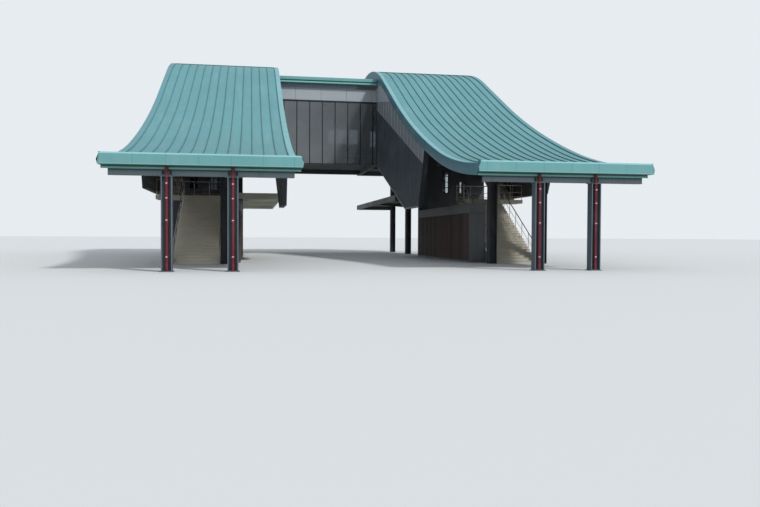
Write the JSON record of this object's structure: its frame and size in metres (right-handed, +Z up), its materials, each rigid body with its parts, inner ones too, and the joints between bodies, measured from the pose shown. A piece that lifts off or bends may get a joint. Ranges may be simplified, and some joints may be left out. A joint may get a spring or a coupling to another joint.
{
  "type": "railway station building",
  "caption": "Station building over the tracks: stair halls with ogee standing-seam metal roofs on columns, joined by a glazed concourse bridge.",
  "frame": {"origin": "centre of the building's outline at platform level", "axes": "+X across the tracks to the right seen from the front, +Y along the tracks from the low front eaves to the high rear, +Z up"},
  "size_m": [23.96, 39, 15.1849],
  "materials": {
    "roof_metal": "satin turquoise coil coating",
    "fascia_metal": "satin turquoise coil coating",
    "steel": "dark slate-grey paint",
    "beam_steel": "light blue-grey paint",
    "red_pipe": "dark red gloss paint",
    "ribbed_cladding": "dark grey ribbed sheet",
    "band_metal": "light grey panels",
    "tinted_glass": "grey tinted",
    "concrete": "smooth concrete",
    "stone_cladding": "honed brown and pink slabs",
    "stainless": "brushed"
  },
  "bodies": {
    "root": {"left_roof": "roof_metal", "left_verges": "fascia_metal", "left_front_gutter": "fascia_metal", "left_rafters": "steel", "left_eave_beam": "beam_steel", "left_front_columns": "steel", "left_rain_pipes": "red_pipe", "left_cross_beams": "steel", "left_inner_columns": "steel", "left_inner_wall": "ribbed_cladding", "left_doorway_wall": "ribbed_cladding", "left_outer_wall": "ribbed_cladding", "left_rear_wall": "ribbed_cladding", "left_hall_floor": "concrete", "left_stair_slab": "concrete", "left_stair_steps": "concrete", "left_stair_railings": "stainless", "left_stone_wall": "stone_cladding", "left_back_wall": "ribbed_cladding", "left_platform_canopy": "fascia_metal", "left_battens": "ribbed_cladding", "right_roof": "roof_metal", "right_verges": "fascia_metal", "right_front_gutter": "fascia_metal", "right_rafters": "steel", "right_eave_beam": "beam_steel", "right_front_columns": "steel", "right_rain_pipes": "red_pipe", "right_cross_beams": "steel", "right_inner_columns": "steel", "right_inner_wall": "ribbed_cladding", "right_doorway_wall": "ribbed_cladding", "right_outer_wall": "ribbed_cladding", "right_rear_wall": "ribbed_cladding", "right_hall_floor": "concrete", "right_stair_slab": "concrete", "right_stair_steps": "concrete", "right_stair_railings": "stainless", "right_stone_wall": "stone_cladding", "right_back_wall": "ribbed_cladding", "right_platform_canopy": "fascia_metal", "right_battens": "ribbed_cladding", "bridge_deck": "concrete", "bridge_front_glass": "tinted_glass", "bridge_rear_glass": "tinted_glass", "bridge_front_frame": "band_metal", "bridge_rear_frame": "band_metal", "bridge_roof": "roof_metal", "hall_window_glass": "tinted_glass"}
  },
  "joints": []
}
